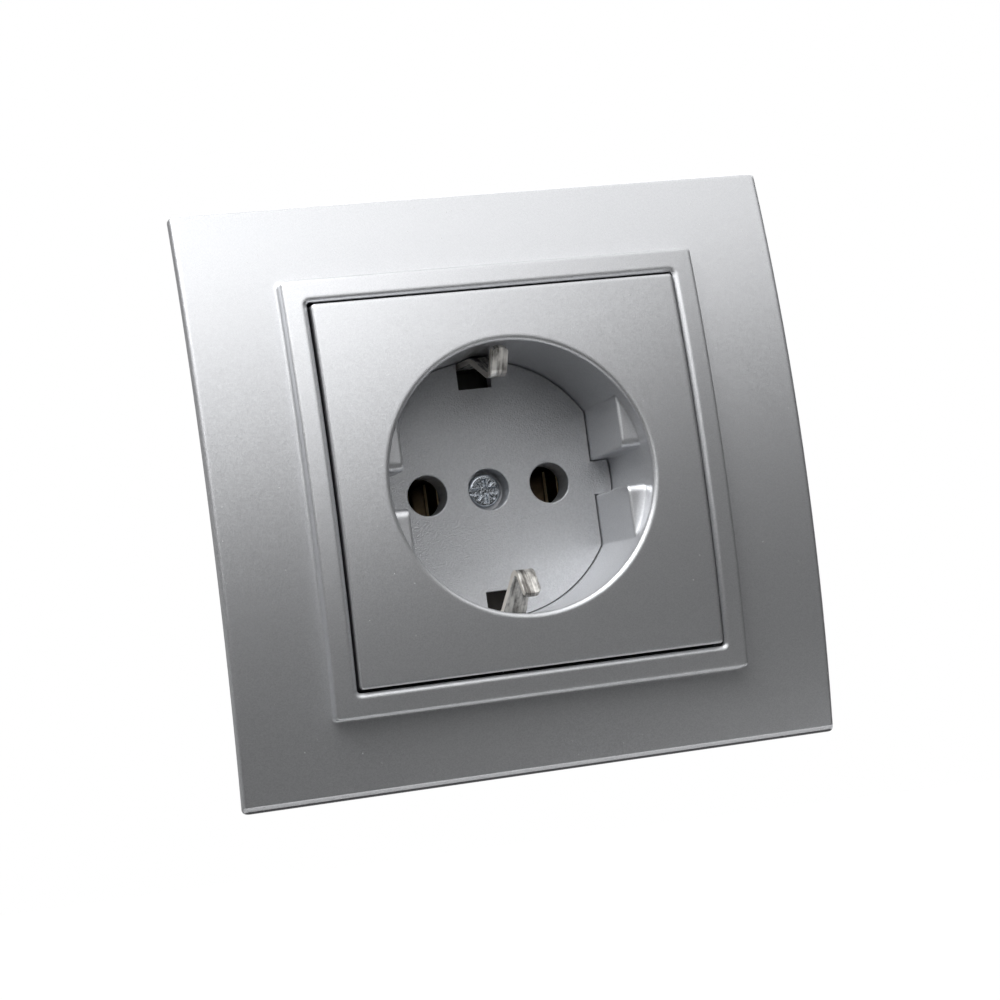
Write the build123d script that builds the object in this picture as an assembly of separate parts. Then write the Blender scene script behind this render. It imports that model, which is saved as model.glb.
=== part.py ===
from build123d import *
import os

# Earthed wall socket, flush mounted, single gang, with side earthing clips.
# X to the right, Y into the wall, Z up; the origin is on the axis of the plug well, in the wall's plane.
# All sizes in millimetres.

# The front is one arch about an axis along X: frame, border and cover follow it one behind the other.
face_height = 8.8  # cover's face in front of the wall, on the axis of the well
arch_radius = 228.0  # of the cover's face

# Outer frame: a hollow moulding with a raised border around a square window
frame_width = 89.6
frame_height = 84.5
frame_corner = 0.8
frame_edge = 0.45
frame_wall = 1.8
frame_rim = 1.7  # thickness of its arched rim, in front of the skirt
frame_skirt_inset = 0.9
frame_setback = 2.85  # its face behind the cover's face
border_size = 62.1
border_corner = 0.6
border_setback = 0.55  # its face behind the cover's face
border_edge = 0.25
border_foot = 0.25
border_wall = 3.0
window_gap = 0.45  # around the cover
window_bevel = 0.58  # across the border
window_bevel_depth = 0.33
ledge_width = 2.5
ledge_thickness = 2.1
screw_notch_width = 9.0
screw_notch_height = 2.8
stiffener_offset = 16.0
stiffener_thickness = 1.2
stiffener_gap = 0.3  # in front of the mounting plate

# Cover: square plate with a skirt, one moulding with the tube of the well
cover_size = 54.5
cover_corner = 0.5
cover_edge = 0.2
cover_thickness = 2.2
skirt_wall = 1.5
well_depth = 17.5
well_mouth_radius = 19.65
well_taper = 0.3  # narrower at the floor than at the mouth
well_edge = 0.6
tube_wall = 1.1
lip_thickness = 1.5
lip_width = 1.35

# Guide ribs in the well, two on each side with a notch between them
rib_projection = 2.85  # from the wall of the well to the flat of a rib
rib_notch = 5.3
rib_setback = 3.2
rib_round = 1.2  # of its front edge beside the notch
rib_edge = 0.25

# Floor of the well: a disc that drops in from the front, with collars behind its holes
floor_thickness = 2.0
floor_seam = 0.15
pin_pitch = 19.0
pin_hole_radius = 3.0
collar_wall = 1.3
hole_edge = 0.2
clip_slot_width = 5.2
clip_slot_length = 4.25
collar_end = 0.3  # gap between the collars and the earthing strap

# Centre screw and its nut
screw_radius = 1.5
screw_head_radius = 2.5
screw_head_height = 1.5
screw_hole_radius = 3.1
screw_sink = 2.0  # top of its head below the floor
screw_seat = 1.2  # plastic under its head
screw_length = 11.0
screw_slot_width = 0.95
screw_slot_depth = 0.6
screw_cross_length = 3.6
screw_cross_width = 0.8
screw_cross_depth = 1.0
screw_tick_width = 0.3  # of the marks between the arms of the cross
screw_tick_depth = 0.25
nut_size = 5.5
nut_thickness = 2.4
thread_gap = 0.08  # around a screw or rivet in its thread or hole
head_edge = 0.4  # round of every screw head and rivet head

# Earthing strap with a clip at each end
strap_width = 7.2
strap_thickness = 0.85
clip_wall_gap = 0.25  # between the foot of a clip and the wall of the well
clip_foot_width = 4.6
clip_bend_setback = 6.2  # of its innermost bend, behind the cover's face
clip_bend_radius = 1.5
clip_tip_setback = 3.4
clip_flap_width = 2.6
clip_flap_corner = 0.9
clip_top_lean = 12.8  # where a clip starts to lean inwards, behind the cover's face
clip_top_bend = 4.25  # in from the wall; the upper clip is sprung further out than the lower one
clip_top_tip = 0.25
clip_bottom_lean = 13.5
clip_bottom_bend = 6.65
clip_bottom_tip = 2.4

# Mounting plate
plate_size = 70.0
plate_corner = 5.0
plate_thickness = 1.1
box_pitch = 60.0
box_slot_width = 3.4
box_slot_length = 6.2

# Base: a cup around the well's tube and a block with chambers behind it
tube_gap = 0.35
cup_wall = 1.1
flange_corner = 6.0
flange_thickness = 3.0
cup_floor = 2.0
base_depth = 32.0
base_height = 41.0
base_edge = 1.5
rivet_margin = 4.0  # in from the edge of the flange
rivet_radius = 1.5
rivet_head_radius = 2.4
rivet_head_height = 0.8

# Pin contacts and terminals
leaf_thickness = 0.6
leaf_width = 5.0
leaf_throat = 3.9
leaf_mouth = 6.2
leaf_mouth_gap = 0.2  # mouth behind the face of the base
leaf_flare = 3.0
contact_back = 27.8
tail_thickness = 0.8
tail_drop = 5.2
bend_radius = 0.9
terminal_x = 11.5
terminal_drop = 9.2
terminal_length = 8.0
bay_depth = 7.0
bay_ledge = 0.5
chamber_gap = 0.5
clamp_gap = 0.25
clamp_thickness = 1.2
clamp_travel = 3.0
terminal_screw_radius = 1.75
terminal_head_radius = 2.75
terminal_head_height = 2.0
terminal_screw_length = 6.0
terminal_slot_width = 0.8
terminal_slot_depth = 1.0

# Spreading claws, each on its own screw
claw_screw_gap = 0.7  # between the cup and a claw screw
claw_screw_radius = 1.4
claw_head_radius = 2.3
claw_head_height = 1.9
claw_thickness = 1.2
claw_width = 7.0
claw_pivot = 21.6  # behind the wall
claw_reach = 3.5  # from the screw out to the arm
claw_front = 5.6
claw_flare = 1.0
claw_flare_length = 2.0
claw_hole_length = 4.2
claw_hole_width = 3.2
claw_tab = 3.0  # from the screw to the tab's free end
claw_tab_gap = 0.8  # between that end and the flat of the base beside it
claw_teeth = 3

# Depths along Y that follow from these
cover_front = -face_height
frame_front = cover_front + frame_setback
border_front = cover_front + border_setback
plate_front = -plate_thickness
ledge_front = plate_front - ledge_thickness
floor_front = cover_front + well_depth
floor_back = floor_front + floor_thickness
tube_back = floor_back + lip_thickness
head_front = floor_front + screw_sink
head_seat = head_front + screw_head_height
collar_back = head_seat + screw_seat
strap_front = collar_back + collar_end
base_front = strap_front + strap_thickness

# Sizes across that follow from these
window_size = cover_size + 2 * window_gap
pin_x = pin_pitch / 2
well_foot_radius = well_mouth_radius - well_taper
lip_radius = well_foot_radius - lip_width
rib_flat = well_foot_radius - rib_projection
clip_slot_start = well_foot_radius - clip_slot_length
clip_foot = well_foot_radius - clip_wall_gap - strap_thickness / 2
tube_radius = well_mouth_radius + tube_wall
cup_bore = tube_radius + tube_gap
cup_radius = cup_bore + cup_wall
rivet_offset = cup_radius - rivet_margin
claw_screw_x = cup_radius + claw_screw_gap + claw_screw_radius
base_flat = 2 * (claw_screw_x - claw_tab - claw_tab_gap)  # across the flats beside the claws
arch_axis = arch_radius - face_height


def square(size, corner):
    """A square outline with rounded corners."""
    return RectangleRounded(size, size, corner)


def prism(outline, front, back):
    """An outline in X and Z, carried straight along Y."""
    return extrude(Plane.XZ.offset(-back) * outline, amount=back - front)


def arched(outline, front, back):
    """A prism whose front follows the arch that reaches a depth on the axis."""
    drum = Pos(0, arch_axis, 0) * Rot(0, 90, 0) * Cylinder(arch_axis - front, 2 * frame_width)
    return prism(outline, front, back) & drum


def strip(points, radius, thickness, plane, width):
    """Bent sheet: a path of straight runs and round bends, given a thickness and a width."""
    section = trace(FilletPolyline(*points, radius=radius), line_width=thickness)
    return extrude(plane * section, amount=width / 2, both=True)


def arched_faces(solid):
    """The large arched faces of a moulding, the foremost first."""
    round_faces = solid.faces().filter_by(GeomType.CYLINDER)
    large = [face for face in round_faces if face.radius > arch_radius / 2]
    return sorted(large, key=lambda face: face.bounding_box().min.Y)


def pan_head(radius, height, front):
    """A round head with a rounded front edge."""
    head = prism(Circle(radius), front, front + height)
    return fillet(head.edges().group_by(Axis.Y)[0], head_edge)


def pan_head_screw(head_radius, head_height, radius, length):
    """A screw along Y with the underside of its head at the origin."""
    return pan_head(head_radius, head_height, -head_height) + prism(Circle(radius), 0, length)


def make_outer_frame():
    face = arched(RectangleRounded(frame_width, frame_height, frame_corner), frame_front, 0)
    face = fillet(arched_faces(face)[0].edges(), frame_edge)
    shell = face + arched(square(border_size, border_corner), border_front, plate_front)
    shell = fillet(arched_faces(shell)[1].inner_wires()[0].edges(), border_foot)
    shell = fillet(arched_faces(shell)[0].outer_wire().edges(), border_edge)

    skirt_width = frame_width - 2 * frame_skirt_inset
    skirt_height = frame_height - 2 * frame_skirt_inset
    behind_rim = arched(Rectangle(2 * frame_width, 2 * frame_height), frame_front + frame_rim, 0)
    shell -= behind_rim - prism(RectangleRounded(skirt_width, skirt_height, frame_corner), cover_front, 0)
    hollow = Rectangle(skirt_width - 2 * frame_wall, skirt_height - 2 * frame_wall)
    hollow = arched(hollow, frame_front + frame_wall, 0) - stiffeners()
    shell -= hollow - prism(square(window_size + 2 * border_wall, border_corner), cover_front, plate_front)

    shell -= prism(square(window_size, cover_corner), 2 * cover_front, ledge_front)
    border = arched_faces(shell)[0]
    shell = chamfer(border.inner_wires()[0].edges(), window_bevel, window_bevel_depth, reference=border)
    shell -= prism(square(window_size - 2 * ledge_width, cover_corner), ledge_front, 0)
    shell -= screw_notches(plate_front - screw_notch_height)
    return shell


def stiffeners():
    """Thin walls behind the frame's face, two on each side of the window."""
    upright = Rectangle(stiffener_thickness, frame_height)
    level = Rectangle(frame_width, stiffener_thickness)
    back = plate_front - stiffener_gap
    walls = prism(Pos(stiffener_offset, 0) * upright, cover_front, back)
    walls += prism(Pos(-stiffener_offset, 0) * upright, cover_front, back)
    walls += prism(Pos(0, stiffener_offset) * level, cover_front, back)
    return walls + prism(Pos(0, -stiffener_offset) * level, cover_front, back)


def screw_notches(front):
    """Room for the heads of the box screws and claw screws, left and right."""
    length = box_pitch / 2 + screw_notch_width / 2
    outline = Rectangle(2 * length, screw_notch_width)
    return prism(outline, front, plate_front)


def make_cover_plate():
    plate = arched(square(cover_size, cover_corner), cover_front, ledge_front)
    plate = fillet(arched_faces(plate)[0].edges(), cover_edge)
    plate -= well_bore(floor_back)
    plate = fillet(arched_faces(plate)[0].inner_wires()[0].edges(), well_edge)
    inner_size = cover_size - 2 * skirt_wall
    plate -= arched(square(inner_size, cover_corner), cover_front + cover_thickness, ledge_front)
    plate -= screw_notches(plate_front - screw_notch_height)

    tube = arched(Circle(tube_radius), cover_front + cover_thickness / 2, tube_back)
    tube -= well_bore(floor_back) + prism(Circle(lip_radius), floor_back, tube_back)
    slot_width = clip_slot_width + 2 * floor_seam
    tube -= clip_slots(slot_width, clip_slot_start - floor_seam, floor_back, tube_back)
    cover = plate + tube
    for rib in guide_ribs():
        cover += rib
    return cover


def well_bore(back):
    """The well's space: it narrows slightly from its mouth to its floor, then runs straight."""
    mouth = Plane.XZ.offset(-cover_front) * Circle(well_mouth_radius)
    foot = Plane.XZ.offset(-floor_front) * Circle(well_foot_radius)
    ahead = prism(Circle(well_mouth_radius), 2 * cover_front, cover_front)
    return ahead + loft([mouth, foot]) + prism(Circle(well_foot_radius), floor_front, back)


def guide_ribs():
    """Four ribs, flat towards the axis and rounded beside the notch."""
    root = (well_mouth_radius + tube_radius) / 2
    ribs = []
    for side in (-1, 1):
        for end in (-1, 1):
            outline = Circle(root) & beyond(side, end, rib_flat, rib_notch / 2)
            rib = prism(outline, cover_front + rib_setback, floor_back)
            front_edges = rib.edges().filter_by(Axis.X).group_by(Axis.Y)[0]
            rib = fillet(front_edges.sort_by(lambda edge: abs(edge.center().Z))[0], rib_round)
            flat_edges = rib.edges().filter_by(Axis.Z).group_by(Axis.Y)[0]
            ribs.append(fillet(flat_edges.sort_by(lambda edge: abs(edge.center().X))[0], rib_edge))
    return ribs


def beyond(side, end, x, z):
    """A large square that starts at a distance from the axis to one side, and up or down."""
    size = tube_radius
    return Pos(side * (x + size / 2), end * (z + size / 2)) * Rectangle(size, size)


def clip_slots(width, start, front, back):
    """The two slots that the earthing clips pass through, open to the wall of the well."""
    length = well_foot_radius - start
    outlines = [Pos(0, end * (start + length / 2)) * Rectangle(width, length) for end in (-1, 1)]
    return prism(outlines[0], front, back) + prism(outlines[1], front, back)


def make_well_floor():
    outline = Circle(well_foot_radius - floor_seam)
    for side in (-1, 1):
        for end in (-1, 1):
            outline -= beyond(side, end, rib_flat - floor_seam, rib_notch / 2 - floor_seam)
    floor = prism(outline, floor_front, floor_back)
    floor -= clip_slots(clip_slot_width, clip_slot_start, floor_front, floor_back)

    floor += prism(Circle(screw_hole_radius + collar_wall), floor_back, collar_back)
    floor -= prism(Circle(screw_hole_radius), floor_front, head_seat)
    floor -= prism(Circle(screw_radius + thread_gap), head_seat, collar_back)
    for x in (-pin_x, pin_x):
        floor += prism(Pos(x, 0) * Circle(pin_hole_radius + collar_wall), floor_back, collar_back)
        floor -= prism(Pos(x, 0) * Circle(pin_hole_radius), floor_front, collar_back)
    rims = floor.edges().filter_by(GeomType.CIRCLE).group_by(Axis.Y)[0]
    holes = rims.filter_by(lambda edge: edge.radius < 2 * pin_hole_radius)
    return fillet(holes, hole_edge)


def make_cover_screw():
    screw = pan_head_screw(screw_head_radius, screw_head_height, screw_radius, screw_length)
    slot = Rectangle(2 * screw_head_radius, screw_slot_width)
    bar = Rectangle(screw_cross_length, screw_cross_width)
    screw -= prism(slot, -screw_head_height, screw_slot_depth - screw_head_height)
    screw -= prism(bar + Rot(0, 0, 90) * bar, -screw_head_height, screw_cross_depth - screw_head_height)
    tick = Rot(0, 0, 45) * Rectangle(screw_cross_length, screw_tick_width)
    screw -= prism(tick + Rot(0, 0, 90) * tick, -screw_head_height, screw_tick_depth - screw_head_height)
    return Pos(0, head_seat, 0) * screw


def make_cover_nut():
    outline = Rectangle(nut_size, nut_size) - Circle(screw_radius + thread_gap)
    return prism(outline, base_front, base_front + nut_thickness)


def make_earth_strap():
    half_length = clip_foot + strap_thickness / 2
    middle = (strap_front + base_front) / 2
    strap = Pos(0, middle, 0) * Box(strap_width, strap_thickness, 2 * half_length)
    strap -= prism(Circle(screw_radius + collar_end), strap_front, base_front)
    hole = Pos(0, -terminal_drop) * Circle(terminal_screw_radius + thread_gap)
    strap -= prism(hole, strap_front, base_front)

    side = [
        (clip_foot_width / 2, base_front),
        (clip_foot_width / 2, floor_back),
        (clip_flap_width / 2, cover_front + clip_bend_setback),
        (clip_flap_width / 2, cover_front),
    ]
    outline = make_face(Polyline(*side, *[(-x, y) for x, y in reversed(side)], close=True))
    clips = clip_strip(1, clip_top_lean, clip_top_bend, clip_top_tip)
    clips += clip_strip(-1, clip_bottom_lean, clip_bottom_bend, clip_bottom_tip)
    return strap + (clips & extrude(outline, amount=well_mouth_radius, both=True))


def side_plane(x):
    """A plane across X, with Z as its first direction and Y as its second."""
    return Plane(origin=(x, 0, 0), x_dir=(0, 0, 1), z_dir=(-1, 0, 0))


def clip_strip(end, lean, bend, tip):
    """One clip before its sides are trimmed: forward from the strap, round the bend and back outwards."""
    bend_point = Vector(end * (well_foot_radius - bend), cover_front + clip_bend_setback)
    tip_point = Vector(end * (well_foot_radius - tip), cover_front + clip_tip_setback)
    foot = end * clip_foot
    points = [(foot, base_front), (foot, cover_front + lean), bend_point, tip_point]
    clip = strip(points, clip_bend_radius, strap_thickness, side_plane(0), strap_width)

    along = (tip_point - bend_point).normalized()
    flap = Plane(origin=(0, tip_point.Y, tip_point.X), x_dir=(1, 0, 0), z_dir=(0, -along.X, along.Y))
    length = 2 * clip_flap_width
    waste = Pos(0, -clip_flap_corner / 2) * Rectangle(strap_width, clip_flap_corner)
    waste -= Pos(0, -length / 2) * RectangleRounded(clip_flap_width, length, clip_flap_corner)
    return clip - extrude(flap * waste, amount=strap_thickness, both=True)


def make_mounting_plate():
    outline = square(plate_size, plate_corner) - Circle(cup_bore)
    for side in (-1, 1):
        outline -= Pos(side * box_pitch / 2, 0) * SlotOverall(box_slot_length, box_slot_width)
        outline -= Pos(side * claw_screw_x, 0) * Circle(claw_screw_radius + thread_gap)
        for end in (-1, 1):
            outline -= Pos(side * rivet_offset, end * rivet_offset) * Circle(rivet_radius + thread_gap)
    return prism(outline, plate_front, 0)


def make_socket_base():
    flats = Rectangle(base_flat, base_height)
    block = prism(Circle(cup_radius) & flats, base_front, base_depth)
    block = fillet(block.edges().group_by(Axis.Y)[-1], base_edge)
    cup = prism(Circle(cup_radius), 0, base_front + cup_floor)
    cup += prism(square(2 * cup_radius, flange_corner), 0, flange_thickness)
    base = block + cup - prism(Circle(cup_bore), 0, base_front)

    nut_pocket = nut_size + 2 * chamber_gap
    base -= prism(Rectangle(nut_pocket, nut_pocket), base_front, base_front + nut_thickness + chamber_gap)
    base -= prism(Circle(screw_radius + thread_gap), base_front, head_seat + screw_length + chamber_gap)
    for x in (-terminal_x, 0, terminal_x):
        base -= terminal_bay(x)
    for side in (-1, 1):
        base -= contact_chamber(side)
        for end in (-1, 1):
            place = Pos(side * rivet_offset, end * rivet_offset)
            base -= prism(place * Circle(rivet_radius + thread_gap), 0, flange_thickness)
    return base


def terminal_bay(x):
    """The space behind a terminal: the clamp plate moves in it, and wires enter it from below."""
    top = -tail_drop - tail_thickness / 2 - chamber_gap
    outline = Pos(x, top - base_height / 2) * Rectangle(strap_width - 2 * bay_ledge, base_height)
    return prism(outline, base_front, base_front + bay_depth)


def contact_chamber(side):
    """The space of one pin contact, open to the front."""
    inner = pin_x - leaf_mouth / 2 - leaf_thickness - chamber_gap
    outer = terminal_x + strap_width / 2 - bay_ledge
    bottom = -tail_drop - tail_thickness / 2 - chamber_gap
    top = leaf_width / 2 + chamber_gap
    middle = Pos(side * (inner + outer) / 2, (bottom + top) / 2)
    return prism(middle * Rectangle(outer - inner, top - bottom), base_front, contact_back)


def make_base_rivets():
    shank = prism(Circle(rivet_radius), plate_front, flange_thickness)
    head = pan_head(rivet_head_radius, rivet_head_height, plate_front - rivet_head_height)
    upset = prism(Circle(rivet_head_radius), flange_thickness, flange_thickness + rivet_head_height)
    rivet = head + shank + upset
    places = [(x, z) for x in (-rivet_offset, rivet_offset) for z in (-rivet_offset, rivet_offset)]
    return Compound([Pos(x, 0, z) * rivet for x, z in places])


def make_contact(side):
    """Two sprung leaves that grip a pin, and a tail that carries them to the terminal."""
    mouth_y = base_front + leaf_mouth_gap
    throat_y = mouth_y + leaf_flare
    back_y = contact_back - tail_thickness / 2
    mouth = (leaf_mouth + leaf_thickness) / 2
    throat = (leaf_throat + leaf_thickness) / 2
    foot = mouth - leaf_thickness
    right = [(mouth, mouth_y), (throat, throat_y), (foot, back_y)]
    left = [(-x, y) for x, y in reversed(right)]
    leaves = Pos(side * pin_x, 0, 0) * strip(right + left, bend_radius, leaf_thickness, Plane.XY, leaf_width)

    plate_y = (strap_front + base_front) / 2
    path = [(0, back_y), (-tail_drop, back_y), (-tail_drop, plate_y), (-tail_drop - terminal_length, plate_y)]
    tail_width = strap_width - 2 * bay_ledge - 2 * clamp_gap
    tail = strip(path, bend_radius, tail_thickness, side_plane(side * terminal_x), tail_width)
    plate_top = -tail_drop - bend_radius - tail_thickness
    plate_height = terminal_length - bend_radius - tail_thickness
    plate = Pos(side * terminal_x, plate_top - plate_height / 2) * Rectangle(strap_width, plate_height)
    contact = leaves + tail + prism(plate, strap_front, base_front)
    hole = Pos(side * terminal_x, -terminal_drop) * Circle(terminal_screw_radius + thread_gap)
    return contact - prism(hole, strap_front, base_front)


def make_terminal_screws():
    screw = pan_head_screw(
        terminal_head_radius, terminal_head_height, terminal_screw_radius, terminal_screw_length
    )
    slot = Rectangle(2 * terminal_head_radius, terminal_slot_width)
    screw -= prism(slot, -terminal_head_height, terminal_slot_depth - terminal_head_height)
    return Compound([Pos(x, strap_front, -terminal_drop) * screw for x in (-terminal_x, 0, terminal_x)])


def make_clamp_plate(x):
    size = strap_width - 2 * bay_ledge - 2 * clamp_gap
    outline = Rectangle(size, size) - Circle(terminal_screw_radius + thread_gap)
    front = base_front + clamp_travel
    return prism(Pos(x, -terminal_drop) * outline, front, front + clamp_thickness)


def make_claw(side):
    """Bent sheet: a tab on the claw screw and an arm that runs forward to three teeth."""
    arm_x = claw_screw_x + claw_reach
    points = [
        (side * (claw_screw_x - claw_tab), claw_pivot),
        (side * arm_x, claw_pivot),
        (side * arm_x, claw_front + claw_flare_length),
        (side * (arm_x + claw_flare), claw_front),
    ]
    claw = strip(points, claw_thickness, claw_thickness, Plane.XY, claw_width)
    hole = Pos(side * claw_screw_x, 0) * SlotOverall(claw_hole_length, claw_hole_width)
    claw -= prism(hole, claw_pivot - claw_thickness, claw_pivot + claw_thickness)
    tooth = claw_width / claw_teeth
    corners = [(-tooth / 2, claw_front), (tooth / 2, claw_front), (0, claw_front + tooth)]
    gap = make_face(Polyline(*corners, close=True))
    for number in range(1, claw_teeth):
        place = Pos(side * arm_x, -claw_thickness, number * tooth - claw_width / 2)
        claw -= place * extrude(side_plane(0) * gap, amount=2 * claw_flare, both=True)
    return claw


def make_claw_screws():
    length = claw_pivot - plate_front + claw_screw_radius + claw_thickness
    screw = pan_head_screw(claw_head_radius, claw_head_height, claw_screw_radius, length)
    slot = Rectangle(2 * claw_head_radius, terminal_slot_width)
    screw -= prism(slot, -claw_head_height, terminal_slot_depth - claw_head_height)
    return Compound([Pos(side * claw_screw_x, plate_front, 0) * screw for side in (-1, 1)])


nodes = {
    "outer_frame": make_outer_frame(),
    "cover_plate": make_cover_plate(),
    "well_floor": make_well_floor(),
    "cover_screw": make_cover_screw(),
    "cover_nut": make_cover_nut(),
    "earth_strap": make_earth_strap(),
    "mounting_plate": make_mounting_plate(),
    "socket_base": make_socket_base(),
    "base_rivets": make_base_rivets(),
    "left_contact": make_contact(-1),
    "right_contact": make_contact(1),
    "terminal_screws": make_terminal_screws(),
    "left_clamp_plate": make_clamp_plate(-terminal_x),
    "right_clamp_plate": make_clamp_plate(terminal_x),
    "earth_clamp_plate": make_clamp_plate(0),
    "left_claw": make_claw(-1),
    "right_claw": make_claw(1),
    "claw_screws": make_claw_screws(),
}

os.makedirs("parts", exist_ok=True)
for name, solid in nodes.items():
    export_step(solid, f"parts/{name}.step")
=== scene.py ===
import math

import bmesh
import bpy
from mathutils import Matrix, Vector


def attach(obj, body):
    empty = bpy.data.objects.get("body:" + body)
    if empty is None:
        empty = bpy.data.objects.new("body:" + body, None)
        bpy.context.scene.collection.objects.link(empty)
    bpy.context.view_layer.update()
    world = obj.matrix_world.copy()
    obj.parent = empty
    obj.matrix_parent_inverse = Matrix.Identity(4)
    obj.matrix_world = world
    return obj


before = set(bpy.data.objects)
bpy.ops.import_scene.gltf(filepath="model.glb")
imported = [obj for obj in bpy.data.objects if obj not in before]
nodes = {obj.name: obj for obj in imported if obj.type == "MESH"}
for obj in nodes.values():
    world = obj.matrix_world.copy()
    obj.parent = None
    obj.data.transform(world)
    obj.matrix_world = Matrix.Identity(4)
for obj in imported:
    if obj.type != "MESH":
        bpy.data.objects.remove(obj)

bpy.context.view_layer.update()


# Mounting plate: galvanised sheet steel, stamped flat and screwed to the flush box.
# It carries everything else, so its zinc spangle and rolling marks come first.
SPANGLE_CELLS = 620.0  # to the metre
ROLLING_WAVES = (60.0, 60.0, 1500.0)
DARK_SPANGLE = (0.44, 0.45, 0.47)
PALE_SPANGLE = (0.78, 0.79, 0.80)


class Value:
    """One output of a shader node. Arithmetic on it adds Math nodes."""

    def __init__(self, tree, socket=None):
        self.tree = tree
        self.socket = socket

    def node(self, kind, settings=None, inputs=None, output=0):
        """Adds any node: its settings first, then the values or links of its sockets."""
        made = self.tree.nodes.new("ShaderNode" + kind)
        for name, value in (settings or {}).items():
            setattr(made, name, value)
        for name, value in (inputs or {}).items():
            if isinstance(value, Value):
                self.tree.links.new(value.socket, made.inputs[name])
            else:
                made.inputs[name].default_value = value
        return Value(self.tree, made.outputs[output] if made.outputs else None)

    def math(self, operation, first, second=0.0):
        return self.node("Math", {"operation": operation}, {0: first, 1: second})

    def __add__(self, other):
        return self.math("ADD", self, other)

    __radd__ = __add__

    def __sub__(self, other):
        return self.math("SUBTRACT", self, other)

    def __rsub__(self, other):
        return self.math("SUBTRACT", other, self)

    def __mul__(self, other):
        return self.math("MULTIPLY", self, other)

    __rmul__ = __mul__

    def __abs__(self):
        return self.math("ABSOLUTE", self)

    def larger(self, other):
        return self.math("MAXIMUM", self, other)

    def rise(self, low, high):
        """A soft step, from 0 at the first limit to 1 at the second."""
        return self.node(
            "MapRange", {"interpolation_type": "SMOOTHSTEP"},
            {"Value": self, "From Min": low, "From Max": high},
        )

    def part(self, axis):
        """One number of a vector."""
        return self.node("SeparateXYZ", inputs={0: self}, output=axis)

    def blend(self, low, high):
        """A colour between two, by this value from 0 to 1."""
        ends = [end if isinstance(end, Value) else (*end, 1) for end in (low, high)]
        return self.node("Mix", {"data_type": "RGBA"}, {0: self, 6: ends[0], 7: ends[1]}, output=2)


def new_finish(name):
    """An empty material, and the value that its shader is built from."""
    material = bpy.data.materials.new(name)
    material.use_nodes = True
    material.node_tree.nodes.clear()
    return material, Value(material.node_tree)


def surface(start, inputs):
    """The material's one shader, joined to its output."""
    shader = start.node("BsdfPrincipled", inputs=inputs)
    start.node("OutputMaterial", inputs={"Surface": shader})


def relief(start, height, strength, distance, **base):
    """Small bumps on a surface, on top of its own normal or another one."""
    inputs = {"Height": height, "Strength": strength, "Distance": distance, **base}
    return start.node("Bump", inputs=inputs)


def streaks(start, waves, detail=3.0):
    """Noise on Object coordinates, with so many waves to the metre along each axis."""
    place = start.node("TexCoord", output="Object")
    drawn = start.node("Mapping", inputs={"Vector": place, "Scale": waves})
    return start.node("TexNoise", inputs={"Vector": drawn, "Scale": 1.0, "Detail": detail})


def dress(node, material):
    """Gives a CAD node its finish."""
    nodes[node].data.materials.clear()
    nodes[node].data.materials.append(material)


galvanised, start = new_finish("galvanised_sheet")
place = start.node("TexCoord", output="Object")
spangle = start.node("TexVoronoi", inputs={"Vector": place, "Scale": SPANGLE_CELLS}, output="Color")
tone = start.node("SeparateColor", inputs={"Color": spangle}, output="Red")
rolling = streaks(start, ROLLING_WAVES)
surface(start, {
    "Base Color": (tone * 0.6 + rolling * 0.4).blend(DARK_SPANGLE, PALE_SPANGLE),
    "Metallic": 1.0,
    "Roughness": 0.30 + tone * 0.12 + rolling * 0.12,
    "Normal": relief(start, rolling, 0.10, 0.00005),
})
dress("mounting_plate", galvanised)


# Socket base: one dark moulding of heat-proof plastic with the contact chambers in it.
# Its faces keep the fine matt texture of the mould.
MOULD_TEXTURE = 5200.0
BASE_DARK = (0.026, 0.026, 0.029)
BASE_PALE = (0.050, 0.050, 0.054)
dark_moulding, start = new_finish("dark_moulding")
place = start.node("TexCoord", output="Object")
texture = start.node("TexNoise", inputs={"Vector": place, "Scale": MOULD_TEXTURE, "Detail": 2.0})
cloud = start.node("TexNoise", inputs={"Vector": place, "Scale": 160.0, "Detail": 4.0})
surface(start, {
    "Base Color": cloud.blend(BASE_DARK, BASE_PALE),
    "Roughness": 0.44 + cloud * 0.16,
    "Normal": relief(start, texture, 0.25, 0.00006),
})
dress("socket_base", dark_moulding)


# Rivets, screws, nut, clamp plates and claws: small steel pieces in bright zinc.
# The plating is bluish and a little cloudy, and every cut edge is slightly rounded.
ZINC_ROUND = 0.00024
ZINC_DARK = (0.36, 0.40, 0.45)
ZINC_BRIGHT = (0.88, 0.92, 0.97)
bright_zinc, start = new_finish("bright_zinc")
place = start.node("TexCoord", output="Object")
cloud = start.node("TexNoise", inputs={"Vector": place, "Scale": 900.0, "Detail": 5.0})
marks = start.node("TexNoise", inputs={"Vector": place, "Scale": 3000.0, "Detail": 3.0})
rounded = start.node("Bevel", {"samples": 6}, {"Radius": ZINC_ROUND})
surface(start, {
    "Base Color": cloud.blend(ZINC_DARK, ZINC_BRIGHT),
    "Metallic": 1.0,
    "Roughness": 0.08 + cloud * 0.22,
    "Normal": relief(start, marks, 0.5, 0.00009, Normal=rounded),
})
for node in (
    "base_rivets", "cover_nut", "terminal_screws", "claw_screws", "cover_screw",
    "left_clamp_plate", "right_clamp_plate", "earth_clamp_plate", "left_claw", "right_claw",
):
    dress(node, bright_zinc)


# Threads of the claw screws: a fine rolled thread on each shank, behind the mounting plate.
# The shanks are plain solids, so each ridge is a piece of its own, rooted just inside its shank.
CLAW_SCREW_X = 0.0243
THREAD_ROOT = 0.00138
THREAD_CREST = 0.00155
THREAD_PITCH = 0.0005
THREAD_FLANK = 0.42 * THREAD_PITCH
THREAD_START = 0.0004
THREAD_TURNS = 46
TURN_STEPS = 16


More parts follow.
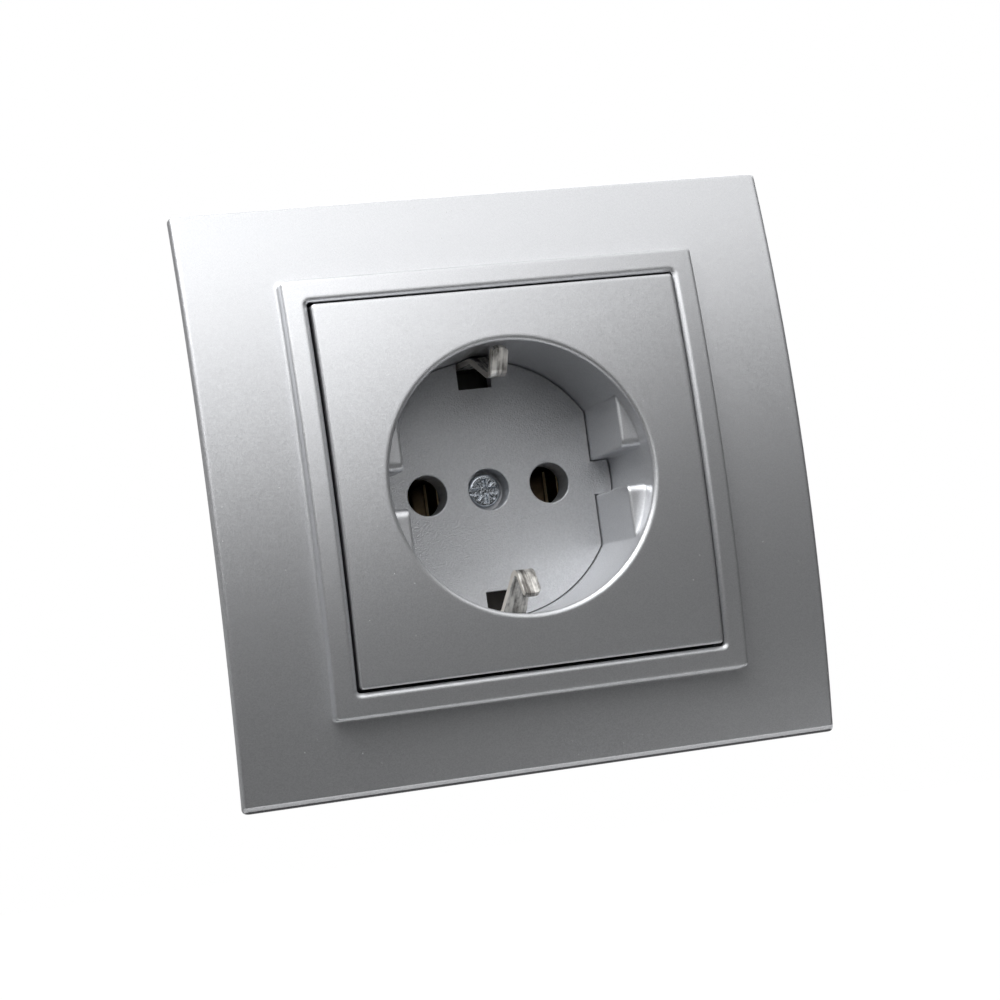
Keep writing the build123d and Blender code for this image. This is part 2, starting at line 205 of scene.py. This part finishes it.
def add_object(name, mesh, material):
    """Puts a finished mesh into the scene."""
    data = bpy.data.meshes.new(name)
    mesh.to_mesh(data)
    mesh.free()
    data.materials.append(material)
    made = bpy.data.objects.new(name, data)
    bpy.context.scene.collection.objects.link(made)
    return made


for name, x in (("left_thread", -CLAW_SCREW_X), ("right_thread", CLAW_SCREW_X)):
    mesh = bmesh.new()
    profile = ((THREAD_ROOT, 0), (THREAD_CREST, THREAD_FLANK), (THREAD_ROOT, 2 * THREAD_FLANK))
    mesh.faces.new([mesh.verts.new((x + out, THREAD_START + along, 0)) for out, along in profile])
    bmesh.ops.spin(
        mesh, geom=mesh.verts[:] + mesh.edges[:] + mesh.faces[:],
        cent=(x, 0, 0), axis=(0, 1, 0), dvec=(0, THREAD_PITCH / TURN_STEPS, 0),
        angle=THREAD_TURNS * math.tau, steps=THREAD_TURNS * TURN_STEPS,
    )
    bmesh.ops.recalc_face_normals(mesh, faces=mesh.faces)
    thread = add_object(name, mesh, bright_zinc)
    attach(thread, "socket")


# Pin contacts: sprung leaves of rolled brass, one bent strip for each pin.
# Their rolled faces are tarnished brown and the cut edges stay bright; the throat that pins rub
# is bright partly from rubbing and partly as a painted highlight.
BRASS_ROUND = 0.00025
RUB_HIGHLIGHT_FRONT = (0.0168, 0.0170)  # where pins start and stop rubbing, behind the wall
RUB_HIGHLIGHT_BACK = (0.0177, 0.0174)
TARNISH_DARK = (0.05, 0.032, 0.018)
TARNISH_PALE = (0.16, 0.10, 0.05)
BARE_BRASS_AND_HIGHLIGHT = (0.98, 0.80, 0.52)
rolled_brass, start = new_finish("rolled_brass")
rolling = streaks(start, (2500.0, 120.0, 2500.0))
tarnish = streaks(start, (400.0, 400.0, 400.0))
cut_edge = start.node("NewGeometry", output="Normal").part("Y").rise(-0.6, -0.9)
deep = start.node("TexCoord", output="Object").part("Y")
# Partly painted highlight: a bright band on the throat, where pins also rub the brass bare.
rubbed_and_highlight = deep.rise(*RUB_HIGHLIGHT_FRONT) * deep.rise(*RUB_HIGHLIGHT_BACK)
rolled_face = tarnish.blend(TARNISH_DARK, TARNISH_PALE)
surface(start, {
    "Base Color": cut_edge.larger(rubbed_and_highlight).blend(rolled_face, BARE_BRASS_AND_HIGHLIGHT),
    "Metallic": 1.0 - rubbed_and_highlight * 0.5,
    "Roughness": 0.22 + rolling * 0.25,
    "Normal": start.node("Bevel", {"samples": 6}, {"Radius": BRASS_ROUND}),
})
for node in ("left_contact", "right_contact"):
    dress(node, rolled_brass)


# Earthing strap: one spring strip, tin-plated, with a clip bent up at each end.
# The rolls that drew the strip left deep bright and dark streaks along its length, and plugs
# have rubbed its clips; behind the floor of the well, in the slots, the strip is painted dark as
# shade.
STRIP_ROUND = 0.0002
STREAK_WAVES = (2300.0, 170.0, 170.0)
PATCH_WAVES = (700.0, 380.0, 380.0)
SLOT_SHADE_DEPTH = (0.0092, 0.0112)  # behind the wall
STREAK_DARK = (0.14, 0.13, 0.12)
STREAK_BRIGHT = (0.95, 0.93, 0.89)
CUT_TIN = (0.84, 0.79, 0.71)
SLOT_SHADE_TIN = (0.09, 0.085, 0.08)
tinned_strip, start = new_finish("tinned_strip")
place = start.node("TexCoord", output="Object")
streak = streaks(start, STREAK_WAVES, detail=5.0)
patch = streaks(start, PATCH_WAVES)
cut_edge = abs(start.node("NewGeometry", output="Normal").part("X")).rise(0.6, 0.9)
worn = (streak * 0.5 + patch * 0.5).rise(0.37, 0.61)
strip_colour = cut_edge.blend(worn.blend(STREAK_DARK, STREAK_BRIGHT), CUT_TIN)
# Painted shade: dark colour and more roughness deep behind the floor, where the slots lie in shade.
slot_shade = place.part("Y").rise(*SLOT_SHADE_DEPTH)
rounded = start.node("Bevel", {"samples": 6}, {"Radius": STRIP_ROUND})
surface(start, {
    "Base Color": slot_shade.blend(strip_colour, SLOT_SHADE_TIN),
    "Metallic": 0.72,
    "Roughness": 0.24 + streak * 0.25 + slot_shade * 0.2,
    "Normal": relief(start, streak, 0.6, 0.0001, Normal=rounded),
})
dress("earth_strap", tinned_strip)


# Outer frame: moulded in grey plastic and sprayed from the front with satin silver paint.
# The paint covers the arched face and its rim; the skirt is bare. The window's walls are bare and
# painted dark as shade in the gap; a dark line painted as shade runs along the rounded lower edge.
ARCH_AXIS = 0.2192  # behind the wall
FRAME_FACE = 0.00595  # heights of the arched faces on the well's axis
BORDER_FACE = 0.00825
BORDER_CROWN = 0.50  # radius of the slight bulge from side to side
BORDER_EDGE = (0.0312, 0.0308)  # out from the axis, as is the window's wall
WINDOW_WALL = (0.0290, 0.0286)
WINDOW_SHADE_DEPTH = (0.0006, 0.0011)  # behind the border's face
SKIRT_BARE = (0.0016, 0.0019)  # behind the frame's face
LOWER_ROUND = (-0.0412, -0.0415)  # down from the axis
LOWER_SHADE_LINE = (-0.04186, -0.04196)
LOWER_SHADE_DEPTH = (0.0006, 0.0003)
LOWER_DROOP = -0.9
MOULDED_ROUND = 0.00065
FLAKE_CELLS = 7000.0
FLAKE_LEAN = 0.042
DUST_CELLS = 560.0
NIB_SIZE = (0.050, 0.028)
SILVER_DARK = (0.695, 0.705, 0.725)
SILVER_BRIGHT = (0.785, 0.795, 0.815)
NIB_WHITE = (0.86, 0.86, 0.86)
SKIRT_GREY = (0.50, 0.50, 0.51)
# Painted shade: the dark colour for the window's gap, the cover's skirt and the lower edge line.
SHADE_DARK_PLASTIC = (0.10, 0.10, 0.11)
PAINT_METAL = 0.78


def depth_behind(place, face):
    """How far a point lies behind an arched face, by that face's height on the well's axis."""
    across = ARCH_AXIS - place.part("Y")
    up = place.part("Z")
    return (ARCH_AXIS + face) - place.math("SQRT", across * across + up * up)


def spray_silver(start, place, bare, plastic_and_shade, crown, droop=0.0):
    """The paint's shader: flakes, a few nibs of dust under it, and, by a mask, bare plastic in a
    colour that also carries painted shade.
    """
    flakes = start.node("TexVoronoi", inputs={"Vector": place, "Scale": FLAKE_CELLS}, output="Color")
    shade = start.node("SeparateColor", inputs={"Color": flakes}, output="Red")
    tilt = start.node("VectorMath", {"operation": "SUBTRACT"}, {0: flakes, 1: (0.5, 0.5, 0.5)})
    lean = start.node("VectorMath", {"operation": "SCALE"}, {0: tilt, "Scale": FLAKE_LEAN})
    swell = start.node("CombineXYZ", inputs={"X": crown, "Z": droop})
    rounded = start.node("Bevel", {"samples": 6}, {"Radius": MOULDED_ROUND})
    crowned = start.node("VectorMath", {"operation": "ADD"}, {0: rounded, 1: swell})
    leaning = start.node("VectorMath", {"operation": "ADD"}, {0: crowned, 1: lean})
    normal = start.node("VectorMath", {"operation": "NORMALIZE"}, {0: leaning})
    dust = start.node("TexVoronoi", inputs={"Vector": place, "Scale": DUST_CELLS}, output="Distance")
    nib = dust.rise(*NIB_SIZE)
    silver = shade.blend(SILVER_DARK, SILVER_BRIGHT)
    surface(start, {
        "Base Color": nib.blend(bare.blend(silver, plastic_and_shade), NIB_WHITE),
        "Metallic": PAINT_METAL - bare.larger(nib) * PAINT_METAL,
        "Roughness": 0.335 + bare * 0.17,
        "Normal": relief(start, nib, 0.7, 0.00004, Normal=normal),
    })


frame_paint, start = new_finish("frame_paint")
place = start.node("TexCoord", output="Object")
wide, up = place.part("X"), place.part("Z")
outward = abs(wide).larger(abs(up))
behind_face = depth_behind(place, FRAME_FACE)
# Painted shade: deep in the window's gap the walls take a dark colour for the shade there.
window_shade = outward.rise(*WINDOW_WALL) * depth_behind(place, BORDER_FACE).rise(*WINDOW_SHADE_DEPTH)
# Painted shade: a thin dark line along the lower edge stands in for the shaded underside.
lower_edge_shade = up.rise(*LOWER_SHADE_LINE) * behind_face.rise(*LOWER_SHADE_DEPTH)
painted_shade = window_shade.larger(lower_edge_shade)
bare = behind_face.rise(*SKIRT_BARE).larger(painted_shade)
plastic_and_shade = painted_shade.blend(SKIRT_GREY, SHADE_DARK_PLASTIC)
crown = outward.rise(*BORDER_EDGE) * wide * (1 / BORDER_CROWN)
droop = up.rise(*LOWER_ROUND) * LOWER_DROOP
spray_silver(start, place, bare, plastic_and_shade, crown, droop)
dress("outer_frame", frame_paint)


# Cover: one moulding with the tube of the plug well, sprayed with the same silver paint.
# The paint reaches down the well to its floor; the skirt and back are bare, painted dark as shade.
COVER_FACE = 0.0088
COVER_BARE = (0.0007, 0.0012)
COVER_CROWN = 0.46
WELL_EDGE = (0.01968, 0.01978)
cover_paint, start = new_finish("cover_paint")
place = start.node("TexCoord", output="Object")
wide, up = place.part("X"), place.part("Z")
outside_well = start.math("SQRT", wide * wide + up * up).rise(*WELL_EDGE)
# Painted shade: the cover's bare skirt and back take the dark colour, for the shade in the gap.
bare = outside_well * depth_behind(place, COVER_FACE).rise(*COVER_BARE)
spray_silver(start, place, bare, SHADE_DARK_PLASTIC, outside_well * wide * (1 / COVER_CROWN))
dress("cover_plate", cover_paint)


# Floor of the well: the same paint over a face that was spark-eroded in the mould.
# The grain is a close pattern of small rounded pebbles.
PEBBLE_CELLS = 4200.0
GRAIN_DARK = (0.51, 0.52, 0.54)
GRAIN_BRIGHT = (0.67, 0.68, 0.70)
grained_silver, start = new_finish("grained_silver")
place = start.node("TexCoord", output="Object")
pebbles = start.node(
    "TexVoronoi", {"feature": "SMOOTH_F1"},
    {"Vector": place, "Scale": PEBBLE_CELLS, "Smoothness": 0.2}, output="Distance",
)
tone = start.node("TexNoise", inputs={"Vector": place, "Scale": 3400.0, "Detail": 1.0})
surface(start, {
    "Base Color": tone.blend(GRAIN_DARK, GRAIN_BRIGHT),
    "Metallic": 0.7,
    "Roughness": 0.46,
    "Normal": relief(start, pebbles, 0.6, 0.00008),
})
dress("well_floor", grained_silver)


# Studio: a pale floor under the socket and a white surround.
# Cards out of the picture and three soft lamps give the satin paint its gradient.
LAMP_DISTANCE = 1.2
FLOOR_RADIUS = 30.0
FLOOR_HEIGHT = -1.5
FLOOR_GREY = 0.85
FLOOR_GLOW = 0.64
SURROUND_LIGHT = 0.45


def facing_socket(azimuth, elevation, roll):
    """The direction to a lamp or card, and the turn that makes it face the socket."""
    az, el = math.radians(azimuth), math.radians(elevation)
    away = Vector((math.sin(az) * math.cos(el), -math.cos(az) * math.cos(el), math.sin(el)))
    turn = away.to_track_quat("Z", "Y").to_matrix() @ Matrix.Rotation(math.radians(roll), 3, "Z")
    return away, turn


def matt_paper(start, grey):
    return start.node("BsdfDiffuse", inputs={"Color": (grey, grey, grey, 1)})


def seen(start):
    """1 on rays from the camera, or by way of gloss or glass, and 0 on rays that only light."""
    rays = [
        start.node("LightPath", output=ray)
        for ray in ("Is Camera Ray", "Is Glossy Ray", "Is Transmission Ray")
    ]
    return start.math("MINIMUM", rays[0] + rays[1] + rays[2], 1.0)


for name, azimuth, elevation, distance, size, roll, grey in (
    ("front_card", 5.5, -14.0, 1.3, (2.0, 1.13), 44.0, 0.04),
    ("left_card", -45.0, -9.2, 1.4, (2.0, 1.7), 0.0, 0.05),
    ("right_card", 73.5, 0.7, 1.4, (2.57, 1.49), 0.0, 0.06),
    ("under_card", 0.0, -53.0, 1.2, (3.6, 0.56), 0.0, 0.03),
    ("table_card", 180.0, -76.0, 0.6, (0.3, 0.2), 0.0, 0.92),
    ("left_rear_card", -122.0, 0.0, 1.4, (2.2, 2.6), 0.0, 0.45),
    ("rear_card", -165.0, 0.0, 1.3, (1.6, 1.6), 0.0, 0.50),
):
    paper, start = new_finish(name)
    start.node("OutputMaterial", inputs={"Surface": matt_paper(start, grey)})
    away, turn = facing_socket(azimuth, elevation, roll)
    mesh = bmesh.new()
    bmesh.ops.create_grid(mesh, x_segments=1, y_segments=1, size=0.5)
    bmesh.ops.scale(mesh, vec=(*size, 1), verts=mesh.verts)
    bmesh.ops.transform(mesh, matrix=turn.to_4x4(), verts=mesh.verts)
    bmesh.ops.translate(mesh, vec=away * distance, verts=mesh.verts)
    card = add_object(name, mesh, paper)
    card.visible_camera = False
    card.visible_shadow = False

for name, azimuth, elevation, size, roll, power in (
    ("softbox", -15.0, 27.9, (1.62, 0.90), -29.0, 4.15),
    ("top_light", -40.0, 55.0, (1.0, 0.8), 0.0, 10.0),
    ("rear_light", 150.0, 42.0, (0.9, 0.6), 0.0, 3.0),
):
    lamp = bpy.data.lights.new(name, "AREA")
    lamp.shape = "RECTANGLE"
    lamp.size, lamp.size_y = size
    lamp.energy = power
    lamp_place = bpy.data.objects.new(name, lamp)
    bpy.context.scene.collection.objects.link(lamp_place)
    away, turn = facing_socket(azimuth, elevation, roll)
    lamp_place.location = away * LAMP_DISTANCE
    lamp_place.rotation_euler = turn.to_euler()
    lamp_place.visible_camera = False

pale_floor, start = new_finish("pale_floor")
glow = start.node("Emission", inputs={"Color": (1, 1, 1, 1), "Strength": seen(start) * FLOOR_GLOW})
both = start.node("AddShader", inputs={0: matt_paper(start, FLOOR_GREY), 1: glow})
start.node("OutputMaterial", inputs={"Surface": both})
mesh = bmesh.new()
bmesh.ops.create_circle(mesh, cap_ends=True, segments=96, radius=FLOOR_RADIUS)
bmesh.ops.translate(mesh, vec=(0, 0, FLOOR_HEIGHT), verts=mesh.verts)
add_object("floor", mesh, pale_floor)

world = bpy.data.worlds.new("surround")
world.use_nodes = True
world.node_tree.nodes.clear()
start = Value(world.node_tree)
backdrop = start.node("Background", inputs={
    "Color": (1, 1, 1, 1),
    "Strength": SURROUND_LIGHT + seen(start) * (1 - SURROUND_LIGHT),
})
start.node("OutputWorld", inputs={"Surface": backdrop})
bpy.context.scene.world = world
bpy.context.scene.view_settings.view_transform = "Standard"


# Camera: where the photograph was taken from, low and to the left of the well's axis.
# Its place, axes and lens follow from the spacing of the pin holes and the depth of the well.
CAMERA_PLACE = (-0.1198, -0.37243, -0.03298)
CAMERA_RIGHT = Vector((0.94739, -0.29052, -0.13432))
CAMERA_UP = Vector((0.10502, -0.11427, 0.98788))
CAMERA_BACK = Vector((-0.30235, -0.95002, -0.07775))
camera = bpy.data.cameras.new("camera")
camera.lens = 97.372
camera.sensor_width = 36.0
camera.clip_start = 0.01
camera_place = bpy.data.objects.new("camera", camera)
bpy.context.scene.collection.objects.link(camera_place)
axes = Matrix((CAMERA_RIGHT, CAMERA_UP, CAMERA_BACK)).transposed().to_4x4()
camera_place.matrix_world = Matrix.Translation(CAMERA_PLACE) @ axes
bpy.context.scene.camera = camera_place

bpy.context.view_layer.update()
